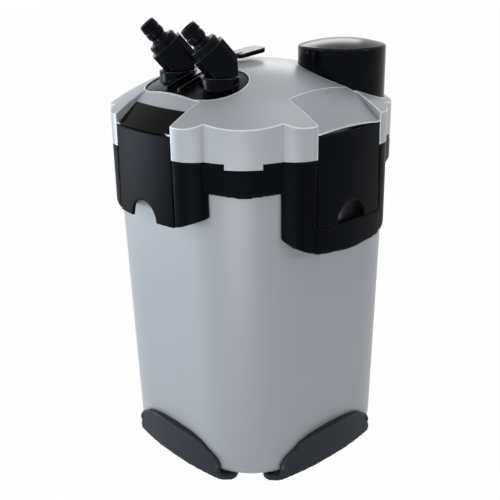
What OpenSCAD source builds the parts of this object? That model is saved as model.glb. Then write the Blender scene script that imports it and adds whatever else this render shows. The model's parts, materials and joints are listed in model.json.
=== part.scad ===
// Canister filter for an aquarium: a four-basket canister with a clamped motor head,
// a lever-operated valve block with two swivelling hose elbows, and a push primer.
// Millimetres, +Z up, origin at the middle of the footprint on the floor, front towards -Y.

/* [Canister] */
// Half width across the flats at the top of the canister
canister_half = 110.4; // [106:0.2:114]
// How much narrower each side is at the bottom
canister_draft = 4.5; // [0:0.5:6]
// Radius of the canister's vertical corners
canister_corner = 67; // [60:1:72]
// Thickness of the canister's walls
canister_wall = 3; // [2:0.5:4]
// Height of the canister's underside above the floor
canister_base_z = 6; // [5:0.5:8]
// Height of the canister's open rim
canister_rim_z = 303; // [300:1:306]
// Size of the rounding around the canister's underside
base_round = 8; // [4:1:10]

/* [Feet] */
// Half width of a foot where it meets the floor
foot_half = 63; // [50:1:66]
// Height of a foot at its middle
foot_height = 37.7; // [30:0.5:45]
// How far a foot stands out from the canister's flats at its middle
foot_reach = 1.6; // [0.6:0.1:3.6]
// Radius of a foot's bowed outer face
foot_bow = 350; // [250:10:500]

/* [Clamps] */
// Half width of a clamp
clamp_half = 39.2; // [36:0.2:39.4]
// Side gap between a clamp and its recess
clamp_gap = 0.6; // [0.4:0.1:1]
// Height of a clamp's lower edge, from the canister's rim
clamp_bottom_z = -48.7; // [-53:0.1:-45]
// Thickness of a clamp's panel
clamp_wall = 3; // [2:0.5:4]
// Radius of the finger arch in a clamp's lower edge
finger_r = 17.5; // [12:0.5:20]
// Radius of a clamp's hinge pin
hinge_pin_r = 1.5; // [1:0.1:2]

/* [Lid cover] */
// Height of the lower edge of the lid cover, from the canister's rim
skirt_z = 11.3; // [9:0.1:13]
// Thickness of the lid cover
lid_wall = 2.5; // [2:0.25:3]
// Radius of the four corner lobes
corner_lobe_r = 60.1; // [58:0.1:62]
// How far in from the canister's flats a corner lobe's centre is
corner_lobe_at = 58.9; // [57.5:0.1:60.5]
// Radius of the eight small lobes beside the clamps
side_lobe_r = 26.6; // [25:0.1:28]
// Height of the top of the domed crown, from the canister's rim
crown_top_z = 79; // [75:0.5:83]
// Radius of the domed crown
crown_r = 245; // [235:1:270]
// Radius of the barrels that lower the crown towards the clamps
barrel_r = 203; // [198:0.5:215]

/* [Valve block] */
// How far in from the canister's front flat the middle of the valve block's deck is
deck_front = 44.9; // [43.4:0.1:48.4]
// Half length of the oval deck
deck_half = 56.5; // [54:0.5:58]
// Half width of the oval deck
deck_r = 28; // [26:0.5:29]
// How far in from the canister's front flat the hose ports are
port_front = 48.4; // [46.4:0.1:50.4]
// Distance between the two hose ports
port_pitch = 59; // [57:0.5:62]
// Outer radius of a port cup
cup_r = 17; // [16:0.25:18]
// Height of a cup's rim, from the canister's rim
cup_rim_z = 73; // [71:0.5:75]
// Radius of a valve plug
plug_r = 14; // [13:0.25:15]
// Radius of the water way through the valve plugs
way_r = 5.5; // [4:0.25:6]

/* [Hose elbows] */
// Tilt of a hose elbow's upper part away from the vertical, in degrees
elbow_tilt = 40; // [30:1:50]
// Resting turn of the elbows from straight forward, in degrees
elbow_turn = -33; // [-45:1:10]
// Radius of an elbow's spigot
spigot_r = 10.5; // [9:0.25:11]
// Radius of the hose barb
barb_r = 8.3; // [7:0.1:9]
// Radius of the bore through the hose barb
barb_bore_r = 6; // [4:0.25:6.5]
// Width across an elbow's flat sides
elbow_w = 28.4; // [26:0.2:30]
// Depth of an elbow's body, across its tilted axis
elbow_deep = 32; // [29:0.5:33]

/* [Primer] */
// How far in from the canister's flats the primer's axis is
primer_at = 49.9; // [48.4:0.1:52.4]
// Outer radius of the primer cap
primer_r = 40.5; // [36:0.5:42]
// Height of the primer cap's shoulder, from the canister's rim
primer_top_z = 92; // [85:0.5:97]
// How far the primer cap is pushed down
primer_stroke = 18; // [10:1:18]
// Number of coils of the return spring
spring_coils = 6; // [4:1:7]
// Radius of the return spring's wire
spring_wire_r = 1.2; // [0.8:0.1:1.3]

/* [Pump] */
// Position of the pump's axis, left of the middle
pump_left = 38; // [34:1:42]
// Position of the pump's axis, behind the middle
pump_back = 34; // [30:1:38]
// Radius of the impeller's blades
impeller_r = 22; // [18:0.5:24]
// Number of impeller blades
blade_count = 6; // [4:1:8]
// Radius of the rotor magnet
magnet_r = 12; // [10:0.5:13]
// Radius of the ceramic shaft
shaft_r = 1.5; // [1:0.1:2]

/* [Baskets] */
// Room between the grid on the baskets and the pump
basket_room = 7.9; // [6:0.1:30]
// Gap around the lowest basket
basket_gap = 4.9; // [3.9:0.1:12.9]
// Thickness of a basket's walls
basket_wall = 2; // [1.5:0.25:3]

/* [Hidden] */
$fn = 96;

// Small gaps
seat_gap = 0.3;
turn_gap = 0.3;
eps = 0.01;

// Canister
canister_low = canister_half - canister_draft;
canister_straight_z = canister_rim_z - 21;
floor_z = canister_base_z + canister_wall + 1;
bore_half = canister_half - canister_wall;
bore_corner = canister_corner - canister_wall;
foot_d = canister_half + foot_reach;
toe_flange_d = foot_d - 18;
beyond = canister_half + 40;

// Collar around the canister's rim
skirt_foot = canister_rim_z + skirt_z;
collar_hole = canister_half + seat_gap;
collar_top_z = skirt_foot - 0.5;
collar_lip_z = canister_rim_z - 13;
collar_chamfer = 4.6;
ledge_z = canister_rim_z - 16;
ledge_out = 5.6;
ledge_d = canister_half + ledge_out;
recess_d = ledge_d - 16;
clamp_foot = canister_rim_z + clamp_bottom_z;
bridge_top_z = clamp_foot - 0.5;
cheek_foot_z = clamp_foot - 34.3;

// Outline of the lid and the collar
core_half = canister_half - 18.4;
lobe_at = canister_half - corner_lobe_at;
lobe_reach = lobe_at * sqrt(2) + corner_lobe_r;
side_lobe_x = clamp_half + 0.3;
side_lobe_d = canister_half - 10.7;
recess_half = clamp_half + clamp_gap;

// Bowed front of the clamps and of the facets above them
bow_r = 225;
bow_out = 18.9;
bow_face_d = canister_half + bow_out;
bow_d = bow_face_d - bow_r;
bow_draft = 1.3;
facet_z = canister_rim_z + 31.6;
facet_h = 17.5;
facet_top_z = facet_z + facet_h;
facet_run = 22.3;
facet_lip = 0.8;
facet_under_run = 1.764;
clamp_top_z = facet_z - 0.5;

// Clamp hinge
hinge_out = 3.5;
hinge_d = ledge_d + hinge_out;
hinge_z = skirt_foot + 3.7;
lug_r = 4;
lug_x = clamp_half - 8.2;
lug_w = 3.5;
ear_w = 4;
toe_tip_d = ledge_d - 4;
toe_half = clamp_half - 14.2;
return_d = ledge_d + 1.5;

// Head
flange_z = collar_top_z + seat_gap;
flange_top_z = flange_z + 4.7;
tray_floor_z = canister_rim_z - 12;
tray_top_z = tray_floor_z + 5;
below_tray_z = tray_floor_z - 11;
seal_h = 2;
pocket_d = ledge_d - 11;
corner_post = lobe_at + 26.5;
side_post = canister_half - 17.4;
screw_spots = [[-corner_post, -corner_post], [corner_post, -corner_post],
    [-corner_post, corner_post], [side_post, 5], [5, side_post]];
screw_r = 2;
screw_head_r = 3.6;
screw_top_z = canister_rim_z + 9;
post_r = 5;
tab_wall = lid_wall - 0.4;

// Lid crown: the dome is set from its top, the barrels from the top edge of the facets
crown_top = canister_rim_z + crown_top_z;
crown_mid_z = crown_top - crown_r;
facet_top_d = bow_face_d - facet_run;
barrel_mid_z = facet_top_z - 0.09 - sqrt(barrel_r * barrel_r - facet_top_d * facet_top_d);

// Valve block
deck_gap = 0.6;
deck_sink = 1.2;
deck_h = 4;
deck_y = deck_front - canister_half;
deck_low_z = canister_rim_z + 37;
port_y = port_front - canister_half;
port_x = port_pitch / 2;
plug_z = canister_rim_z + 33;
plug_half = 13;
valve_foot_z = tray_top_z + seat_gap;
cup_rim = canister_rim_z + cup_rim_z;
cup_bore_r = cup_r - 3;
cup_seat_z = cup_rim - 10;
bend_z = 10.5;
spigot_foot_z = cup_seat_z - 12;
lever_w = 11;
valve_shaft_r = 4;

// Pump
pump_x = -pump_left;
pump_y = pump_back;
volute_top_z = tray_floor_z - seat_gap;
volute_h = 20;
volute_r = impeller_r + 8;
volute_foot_z = volute_top_z - volute_h;
well_r = magnet_r + 0.8;
well_top_z = canister_rim_z + 49;
motor_r = 33;
motor_top_z = well_top_z + 6;
shaft_foot_z = volute_foot_z - 4.4;
core_w = 48;
core_foot_z = tray_top_z + 10;
magnet_h = 44;
volute_screw_at = volute_r + 1;
volute_screw_turns = [30, 150, 270];

// Primer
primer_d = canister_half - primer_at;
primer_top = canister_rim_z + primer_top_z;
piston_z = primer_top - 55;
piston_r = primer_r - 10.8;
spring_r = 20;
spring_foot_z = tray_top_z + seat_gap + 3 + spring_wire_r + 0.1;
spring_head_z = piston_z + 3 - spring_wire_r - 0.1;

// Gland
gland_r = 6;
gland_bore_r = 3.5;
gland_h = 9;
gland_flange_h = 2.4;
gland_z = canister_rim_z + 25;

// Baskets
basket_count = 4;
grid_h = 3;
cover_foot_z = volute_foot_z - 6;
basket_z0 = floor_z + 5;
basket_h = (cover_foot_z - basket_room - grid_h - basket_z0) / basket_count;
basket_half = canister_low - canister_wall - basket_gap;
basket_corner = bore_corner - 6;
duct_at = -port_y;
duct_r = 15;
duct_gap = 2;

module at_face(k) {
    rotate([0, 0, 90 * k]) children();
}

module rounded_square(half, corner) {
    c = half - corner;
    square([2 * half, 2 * c], center = true);
    square([2 * c, 2 * half], center = true);
    for (x = [-c, c], y = [-c, c]) {
        translate([x, y]) circle(r = corner);
    }
}

module rounded_slab(half, corner, z) {
    c = half - corner;
    for (x = [-c, c], y = [-c, c]) {
        translate([x, y, z]) cylinder(r = corner, h = eps);
    }
}

// Plan of the lid and collar: four corner lobes, and a small lobe at each side of a clamp
module lobed_plan(grow = 0) {
    square(2 * (core_half + grow), center = true);
    for (k = [0:3]) {
        rotate(90 * k) {
            translate([lobe_at, lobe_at]) circle(r = corner_lobe_r + grow);
            translate([-side_lobe_x, -side_lobe_d - side_lobe_r + 0.4 - grow])
                square([2 * side_lobe_x, side_lobe_r + 12]);
            for (s = [-1, 1]) {
                translate([s * side_lobe_x, -side_lobe_d]) circle(r = side_lobe_r + grow);
            }
        }
    }
}

// A bowed block in front of face 0, from its inner to its outer bow, z0 to z1
module bow(z0, z1, r0, r1) {
    translate([0, -bow_d, z0]) cylinder(r1 = r0, r2 = r1, h = z1 - z0);
}

// Canister and collar

module canister_shape(inset, z0, z1) {
    low = canister_low - inset;
    top = canister_half - inset;
    c_low = canister_corner - inset;
    hull() {
        rounded_slab(low - 0.75 * base_round, c_low - 0.75 * base_round, z0);
        rounded_slab(low - 0.25 * base_round, c_low - 0.25 * base_round, z0 + 0.3 * base_round);
        rounded_slab(low, c_low, z0 + base_round);
        rounded_slab(top, c_low, canister_straight_z);
    }
    translate([0, 0, canister_straight_z]) linear_extrude(z1 - canister_straight_z)
        rounded_square(top, c_low);
}

module canister_body() {
    color("silver") difference() {
        canister_shape(0, canister_base_z, canister_rim_z);
        canister_shape(canister_wall, floor_z, canister_rim_z + 1);
    }
}

module collar_cheek(outline) {
    intersection() {
        union() {
            for (s = [-1, 1]) {
                translate([s * side_lobe_x, -side_lobe_d, cheek_foot_z])
                    cylinder(r = side_lobe_r, h = collar_top_z - cheek_foot_z);
            }
        }
        rotate([90, 0, 0]) linear_extrude(beyond) polygon(outline);
    }
}

// Lower edge of the black apron beside an open clamp, half of it, from the clamp outwards:
// places across from the middle of the side lobe, heights from the clamp's lower edge
open_apron = [[-9.5, -2.3], [7.1, 2.3], [16.5, 6.3], [27.5, 11.7]];
// The same beside a clamp that has a bridge under it
bridged_apron = [[-side_lobe_x, -26.9], [-1.2, -24.3], [9.9, -20.5], [15.3, -17.6], [25.5, -8.7],
    [31.5, -1.3]];

function placed(half) = [for (p = half) [side_lobe_x + p[0], clamp_foot + p[1]]];

function mirrored(half) =
    let (side = placed(half), edge = side_lobe_x + side_lobe_r + 9)
    concat(side, [[edge, collar_top_z], [-edge, collar_top_z]],
        [for (i = [len(side) - 1:-1:0]) [-side[i][0], side[i][1]]]);

module canister_collar() {
    color("#17181a") difference() {
        union() {
            for (k = [0:3]) {
                at_face(k) {
                    translate([lobe_at, lobe_at, collar_lip_z])
                        cylinder(r = corner_lobe_r, h = collar_top_z - collar_lip_z);
                    translate([lobe_at, lobe_at, canister_straight_z + 1])
                        cylinder(r1 = corner_lobe_r - collar_chamfer, r2 = corner_lobe_r,
                            h = collar_lip_z - canister_straight_z - 1 + eps);
                    collar_cheek(mirrored(k % 2 == 0 ? open_apron : bridged_apron));
                    translate([-recess_half - 2, -ledge_d, ledge_z])
                        cube([2 * recess_half + 4, 16, collar_top_z - ledge_z]);
                }
            }
            // bridges under two of the clamps
            for (k = [1, 3]) {
                at_face(k) intersection() {
                    bow(cheek_foot_z, bridge_top_z, bow_r + bow_draft + 0.5, bow_r + bow_draft);
                    translate([-recess_half - 2, -beyond, 0])
                        cube([2 * recess_half + 4, beyond - recess_d, collar_top_z]);
                    rotate([90, 0, 0]) linear_extrude(beyond) polygon(mirrored(bridged_apron));
                }
            }
        }
        // room for the canister
        translate([0, 0, cheek_foot_z - 1]) linear_extrude(collar_top_z - cheek_foot_z + 2)
            rounded_square(collar_hole, canister_corner + seat_gap);
        // recesses for the clamps
        for (k = [0:3]) {
            recess_foot_z = k % 2 == 0 ? cheek_foot_z - 1 : bridge_top_z;
            at_face(k) translate([-recess_half, -beyond, recess_foot_z])
                cube([2 * recess_half, beyond - ledge_d, collar_top_z - recess_foot_z + 1]);
            at_face(k) translate([-recess_half, -beyond, recess_foot_z])
                cube([2 * recess_half, beyond - recess_d, ledge_z - recess_foot_z]);
            // notches for the lid's tabs
            at_face(k) lid_tab(0.5);
        }
        // finger pockets behind the bridges
        for (k = [1, 3]) {
            at_face(k) translate([-clamp_half + 5.2, -ledge_d - 6, bridge_top_z - 19.8])
                cube([2 * clamp_half - 10.4, ledge_d + 6 - recess_d, 40]);
        }
    }
}

// Feet

module foot_outline() {
    // from the middle of the upper edge outwards and down
    side = [[25, foot_height - 0.9], [foot_half - 22, foot_height - 3.9],
        [foot_half - 13.3, foot_height - 8.7], [foot_half - 4.8, foot_height - 14.1],
        [foot_half, foot_height - 20.7], [foot_half, 0]];
    polygon(concat([[0, foot_height]], side, [for (i = [len(side) - 1:-1:0]) [-side[i][0], side[i][1]]]));
}

module foot(k) {
    color("#232528") at_face(k) difference() {
        union() {
            intersection() {
                rotate([90, 0, 0]) linear_extrude(beyond) foot_outline();
                translate([0, foot_bow - foot_d, 0]) cylinder(r = foot_bow, h = foot_height + 20, $fn = 256);
                translate([-foot_half - 20, -beyond, 0])
                    cube([2 * foot_half + 40, beyond - foot_d + 34, foot_height + 20]);
            }
            // low toe flange at each side
            for (s = [-1, 1]) {
                translate([s * (foot_half - 3), -toe_flange_d, 0]) cylinder(r = 12, h = 5);
            }
        }
        // the canister stands in the foot
        translate([0, 0, canister_base_z - seat_gap]) linear_extrude(100)
            rounded_square(canister_low + 0.9, canister_corner);
    }
}

// Lid cover

// A dome, lowered towards the four clamps by two crossed barrels
module crown(drop) {
    intersection() {
        translate([0, 0, crown_mid_z]) sphere(r = crown_r - drop);
        for (a = [0, 90]) {
            translate([0, 0, barrel_mid_z]) rotate([0, 90, a])
                cylinder(r = barrel_r - drop, h = 400, center = true);
        }
    }
}

module lid_tab(gap) {
    rotate([0, 0, 45]) intersection() {
        translate([-16 - gap, -lobe_reach - 7, skirt_foot - 5 - gap]) cube([32 + 2 * gap, 30, 30]);
        difference() {
            rotate([0, 0, -45]) translate([lobe_at, -lobe_at, 0])
                cylinder(r = corner_lobe_r + gap, h = skirt_foot + 1);
            rotate([0, 0, -45]) translate([lobe_at, -lobe_at, -1])
                cylinder(r = corner_lobe_r - tab_wall - gap, h = skirt_foot + 3);
        }
    }
}

module facet_cutter(k) {
    at_face(k) difference() {
        translate([-recess_half, -beyond, facet_z]) cube([2 * recess_half, beyond - bow_face_d + 40, 60]);
        bow(facet_z - 1, facet_top_z + 14, bow_r + facet_run / facet_h,
            bow_r - facet_run / facet_h * (facet_h + 14));
    }
}

module clamp_pocket(k) {
    at_face(k) {
        translate([-recess_half, -beyond, canister_rim_z])
            cube([2 * recess_half, beyond - pocket_d, facet_z - canister_rim_z]);
        intersection() {
            translate([-recess_half, -beyond, facet_z - eps]) cube([2 * recess_half, beyond - pocket_d, 12]);
            bow(facet_z - eps, facet_z + 12, bow_r - facet_lip,
                bow_r - facet_lip - 12 * facet_under_run);
        }
    }
}

module deck_oval(grow) {
    c = deck_half - deck_r;
    translate([0, deck_y]) {
        square([2 * c, 2 * (deck_r + grow)], center = true);
        for (x = [-c, c]) {
            translate([x, 0]) circle(r = deck_r + grow);
        }
    }
}

module lid_shell() {
    difference() {
        intersection() {
            translate([0, 0, skirt_foot]) linear_extrude(120) lobed_plan();
            crown(0);
        }
        // hollow inside, around the pockets of the clamps
        difference() {
            intersection() {
                translate([0, 0, canister_rim_z]) linear_extrude(120) lobed_plan(-lid_wall);
                crown(lid_wall * 1.1);
            }
            for (k = [0:3]) {
                at_face(k) translate([-recess_half - lid_wall, -beyond, canister_rim_z - 1])
                    cube([2 * (recess_half + lid_wall), beyond - pocket_d + lid_wall, 120]);
                // thicker where the facet meets the crown
                at_face(k) translate([-recess_half - lid_wall, -beyond, facet_z + 2])
                    cube([2 * (recess_half + lid_wall), beyond - pocket_d + 9, 120]);
            }
        }
        // room for the flange of the head base
        translate([0, 0, canister_rim_z]) linear_extrude(flange_top_z + seat_gap - canister_rim_z)
            lobed_plan(-lid_wall);
        for (k = [0:3]) {
            facet_cutter(k);
            clamp_pocket(k);
        }
    }
}

module lid_cover() {
    color("silver") difference() {
        union() {
            lid_shell();
            for (k = [0:3]) {
                at_face(k) lid_tab(0);
            }
            // posts for the screws
            intersection() {
                for (p = screw_spots) {
                    translate([p[0], p[1], tray_top_z + seat_gap]) cylinder(r = post_r, h = 100);
                }
                crown(1);
            }
        }
        translate([0, 0, flange_top_z + 10.8]) linear_extrude(90) deck_oval(deck_gap);
        translate([primer_d, primer_d, canister_rim_z]) cylinder(r = primer_r + 0.6, h = 120);
        for (p = screw_spots) {
            translate([p[0], p[1], tray_floor_z])
                cylinder(r = screw_r + 0.05, h = screw_top_z + 2 - tray_floor_z);
        }
        at_gland() gland_outline(seat_gap);
    }
}

// A bare plate on the front facet
module badge_plate() {
    color("#0b0c0e") at_face(0) intersection() {
        translate([-clamp_half + 2.7, -beyond, facet_z + 0.6])
            cube([2 * clamp_half - 5.4, beyond - bow_face_d + 40, facet_h - 1]);
        difference() {
            bow(facet_z, facet_top_z, bow_r + 0.9, bow_r + 0.9 - facet_run);
            bow(facet_z - eps, facet_top_z + eps, bow_r + 0.1, bow_r + 0.1 - facet_run);
        }
    }
}

module lid_screws() {
    color("gray") for (p = screw_spots) {
        translate([p[0], p[1], tray_floor_z + 0.2]) {
            cylinder(r = screw_head_r, h = 2.2);
            cylinder(r = screw_r, h = screw_top_z - tray_floor_z);
        }
    }
}

// Head base: a tray that plugs into the canister, with a flange that carries the lid

module head_shell() {
    plug_half_w = bore_half - 0.4;
    plug_corner = bore_corner - 0.4;
    difference() {
        union() {
            translate([0, 0, tray_floor_z]) linear_extrude(flange_z - tray_floor_z)
                rounded_square(plug_half_w, plug_corner);
            translate([0, 0, canister_rim_z + seal_h + 0.2])
                linear_extrude(flange_z - canister_rim_z - seal_h)
                rounded_square(canister_half - 0.2, canister_corner);
            translate([0, 0, flange_z]) linear_extrude(flange_top_z - flange_z)
                lobed_plan(-lid_wall - 0.5);
        }
        // inside of the tray
        translate([0, 0, tray_top_z]) linear_extrude(60) rounded_square(plug_half_w - 3, plug_corner - 3);
        // room behind the clamps
        for (k = [0:3]) {
            at_face(k) translate([-recess_half, -beyond, flange_z - 1])
                cube([2 * recess_half, beyond - ledge_d + 1, 5.8]);
            at_face(k) lid_tab(0.5);
        }
        for (p = screw_spots) {
            translate([p[0], p[1], below_tray_z]) cylinder(r = screw_r + 0.3, h = 30);
            translate([p[0], p[1], below_tray_z])
                cylinder(r = screw_head_r + 0.3, h = tray_floor_z + 2.6 - below_tray_z);
        }
        // ways to the valve block
        for (x = [-port_x, port_x]) {
            translate([x, port_y, below_tray_z]) cylinder(r = way_r + 2, h = 40);
        }
    }
}

module head_base() {
    color("#1b1c1f") difference() {
        union() {
            head_shell();
            for (k = [0:3]) {
                at_face(k) hinge_ears();
            }
            // sleeve around the rotor
            translate([pump_x, pump_y, tray_floor_z]) cylinder(r = well_r + 2, h = well_top_z - tray_floor_z);
        }
        for (k = [0:3]) {
            at_face(k) hinge_bores(hinge_pin_r + 0.02);
        }
        translate([pump_x, pump_y, below_tray_z]) cylinder(r = well_r, h = well_top_z - 2 - below_tray_z);
    }
}

module hinge_ears() {
    for (s = [-1, 1]) {
        translate([s * (lug_x - lug_w / 2 - 0.4 - ear_w / 2) - ear_w / 2, 0, 0]) {
            translate([0, -hinge_d, hinge_z]) rotate([0, 90, 0]) cylinder(r = lug_r - 0.2, h = ear_w);
            translate([0, -hinge_d, flange_z + 0.3]) cube([ear_w, lug_r, hinge_z - flange_z]);
            translate([0, -ledge_d, flange_z]) cube([ear_w, 8, 7.5]);
        }
    }
}

module hinge_bores(r) {
    translate([-lug_x - 29, -hinge_d, hinge_z]) rotate([0, 90, 0]) cylinder(r = r, h = 2 * lug_x + 58);
}

module clamp_hinge_pins() {
    color("silver") for (k = [0:3]) {
        at_face(k) translate([-lug_x - 3.5, -hinge_d, hinge_z]) rotate([0, 90, 0])
            cylinder(r = hinge_pin_r, h = 2 * lug_x + 7);
    }
}

// A flat ring that seals the plug against the canister's rim
module head_seal() {
    color("#2a2a2a") translate([0, 0, canister_rim_z + 0.05]) linear_extrude(seal_h) difference() {
        rounded_square(canister_half - 0.3, canister_corner - 0.3);
        rounded_square(bore_half + 0.2, bore_corner + 0.2);
    }
}

// Clamps

module clamp(k) {
    wall_z0 = clamp_foot;
    color("#15161a") at_face(k) difference() {
        union() {
            intersection() {
                translate([-clamp_half, -beyond, wall_z0])
                    cube([2 * clamp_half, beyond - recess_d, clamp_top_z - wall_z0]);
                difference() {
                    bow(wall_z0, clamp_top_z, bow_r + bow_draft, bow_r);
                    bow(wall_z0 - 1, clamp_top_z + 1, bow_r + bow_draft - clamp_wall, bow_r - clamp_wall);
                }
            }
            // side returns
            intersection() {
                bow(wall_z0, clamp_top_z, bow_r + bow_draft, bow_r);
                for (s = [-1, 1]) {
                    translate([s * (clamp_half - 1.25) - 1.25, -beyond, wall_z0])
                        cube([2.5, beyond - return_d, hinge_z - 6 - wall_z0]);
                }
            }
            // toe that hooks under the collar
            intersection() {
                bow(wall_z0, clamp_top_z, bow_r + bow_draft - 1, bow_r - 1);
                translate([-toe_half, -beyond, ledge_z - 4]) cube([2 * toe_half, beyond - toe_tip_d, 3.6]);
            }
            // hinge lugs
            for (s = [-1, 1]) {
                translate([s * lug_x - lug_w / 2, 0, 0]) {
                    translate([0, -hinge_d, hinge_z]) rotate([0, 90, 0]) cylinder(r = lug_r, h = lug_w);
                    intersection() {
                        translate([0, -beyond, hinge_z - lug_r]) cube([lug_w, beyond - hinge_d, 2 * lug_r]);
                        translate([-s * lug_x + lug_w / 2, 0, 0])
                            bow(wall_z0, clamp_top_z, bow_r + bow_draft - 1, bow_r - 1);
                    }
                }
            }
        }
        hinge_bores(hinge_pin_r + turn_gap);
        translate([0, -ledge_d + 20, wall_z0]) rotate([90, 0, 0]) cylinder(r = finger_r, h = 60);
    }
}

// Valve block: an oval deck that follows the crown, two cups and the housings of the plugs

module valve_block() {
    color("#1a1b1e") difference() {
        union() {
            intersection() {
                translate([0, 0, deck_low_z]) linear_extrude(60) deck_oval(0);
                difference() {
                    crown(deck_sink);
                    crown(deck_sink + deck_h);
                }
            }
            for (x = [-port_x, port_x]) {
                translate([x, port_y, plug_z]) cylinder(r = cup_r, h = cup_rim - plug_z);
                translate([x, port_y, valve_foot_z]) cylinder(r = way_r + 4, h = plug_z - valve_foot_z);
                translate([x - plug_half - 2, port_y, plug_z]) rotate([0, 90, 0])
                    cylinder(r = plug_r + 2.4, h = 2 * plug_half + 4);
            }
            // rails beside the lever's slot
            for (s = [-1, 1]) {
                intersection() {
                    translate([s * (lever_w / 2 + 3.1) - 1.4, deck_y - 26.5, deck_low_z]) cube([2.8, 30, 60]);
                    difference() {
                        crown(deck_sink - 3.5);
                        crown(deck_sink + 1);
                    }
                }
            }
        }
        for (x = [-port_x, port_x]) {
            translate([x, port_y, cup_seat_z]) cylinder(r = cup_bore_r, h = 30);
            translate([x, port_y, spigot_foot_z - 1]) cylinder(r = spigot_r + turn_gap, h = 30);
            translate([x, port_y, below_tray_z]) cylinder(r = way_r, h = 90);
        }
        for (s = [-1, 1]) {
            translate([s * (port_x - plug_half), port_y, plug_z]) rotate([0, s * 90, 0])
                cylinder(r = plug_r + turn_gap, h = 2 * plug_half + 4);
        }
        translate([-port_x, port_y, plug_z]) rotate([0, 90, 0])
            cylinder(r = valve_shaft_r + turn_gap, h = 2 * port_x);
        // slot for the lever
        translate([-lever_w / 2 - 0.8, port_y - 20, deck_low_z]) cube([lever_w + 1.6, 60, 60]);
    }
}

module valve_plug(s) {
    color("#3a3c40") difference() {
        translate([s * (port_x - plug_half + 0.1), port_y, plug_z]) rotate([0, s * 90, 0])
            cylinder(r = plug_r, h = 2 * plug_half - 0.2);
        translate([s * port_x, port_y, plug_z - 30]) cylinder(r = way_r, h = 60);
        translate([0, port_y, plug_z]) rotate([0, s * 90, 0])
            cylinder(r = valve_shaft_r, h = port_x - plug_half + 3);
    }
}

module valve_end_caps() {
    color("#1a1b1e") for (s = [-1, 1]) {
        translate([s * (port_x + plug_half + 0.1), port_y, plug_z]) rotate([0, s * 90, 0])
            cylinder(r = plug_r, h = 1.9);
    }
}

module valve_shaft() {
    color("silver") translate([-port_x + plug_half - 3, port_y, plug_z]) rotate([0, 90, 0])
        cylinder(r = valve_shaft_r, h = 2 * (port_x - plug_half + 3));
}

module valve_lever() {
    paddle_w = 22;
    color("#1a1b1e") difference() {
        union() {
            translate([-lever_w / 2, port_y, plug_z]) rotate([0, 90, 0]) cylinder(r = 8, h = lever_w);
            // arm up through the slot, and the first part of the paddle
            translate([lever_w / 2, 0, 0]) rotate([90, 0, -90]) linear_extrude(lever_w)
                polygon([[-port_y, plug_z + 6], [-port_y - 6, plug_z - 3], [-port_y - 22, crown_top - 10],
                    [-port_y - 26, crown_top + 1], [-port_y - 48, crown_top + 4],
                    [-port_y - 48, crown_top + 8], [-port_y - 17, crown_top + 4.5]]);
            intersection() {
                translate([60, port_y + 62, crown_top]) rotate([90, 0, -90]) linear_extrude(120)
                    polygon([[40, 0.6], [30, 1.6], [-14, 6.4], [-14, 10.6], [30, 5.6], [40, 5]]);
                translate([0, port_y + 62, 0]) linear_extrude(crown_top + 40) {
                    translate([-lever_w / 2, -40]) square([lever_w, 40]);
                    paddle_plan(paddle_w);
                }
            }
        }
        translate([-20, port_y, plug_z]) rotate([0, 90, 0]) cylinder(r = valve_shaft_r, h = 40);
    }
}

module paddle_plan(w) {
    translate([-w / 2, -16]) square([w, 22]);
    translate([-w / 2 + 8, -16]) square([w - 16, 30]);
    for (s = [-1, 1]) {
        translate([s * (w / 2 - 8), 6]) circle(r = 8);
        translate([s * (w / 2 - 5), -16]) circle(r = 5);
    }
    translate([-w / 2 + 5, -21]) square([w - 10, 10]);
}

// Hose elbows

module at_port(s) {
    translate([s * port_x, port_y, cup_rim]) rotate([0, 0, elbow_turn]) children();
}

// Axis of the tilted part, from the middle of the bend, towards -Y
module on_tilt() {
    translate([0, 0, bend_z]) rotate([elbow_tilt, 0, 0]) children();
}

// Section of an elbow's body, with its four corners cut off
module elbow_plan(corner) {
    x = elbow_w / 2;
    y = elbow_deep / 2;
    polygon([[x, y - corner], [x - corner, y], [corner - x, y], [-x, y - corner],
        [-x, corner - y], [corner - x, -y], [x - corner, -y], [x, corner - y]]);
}

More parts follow.
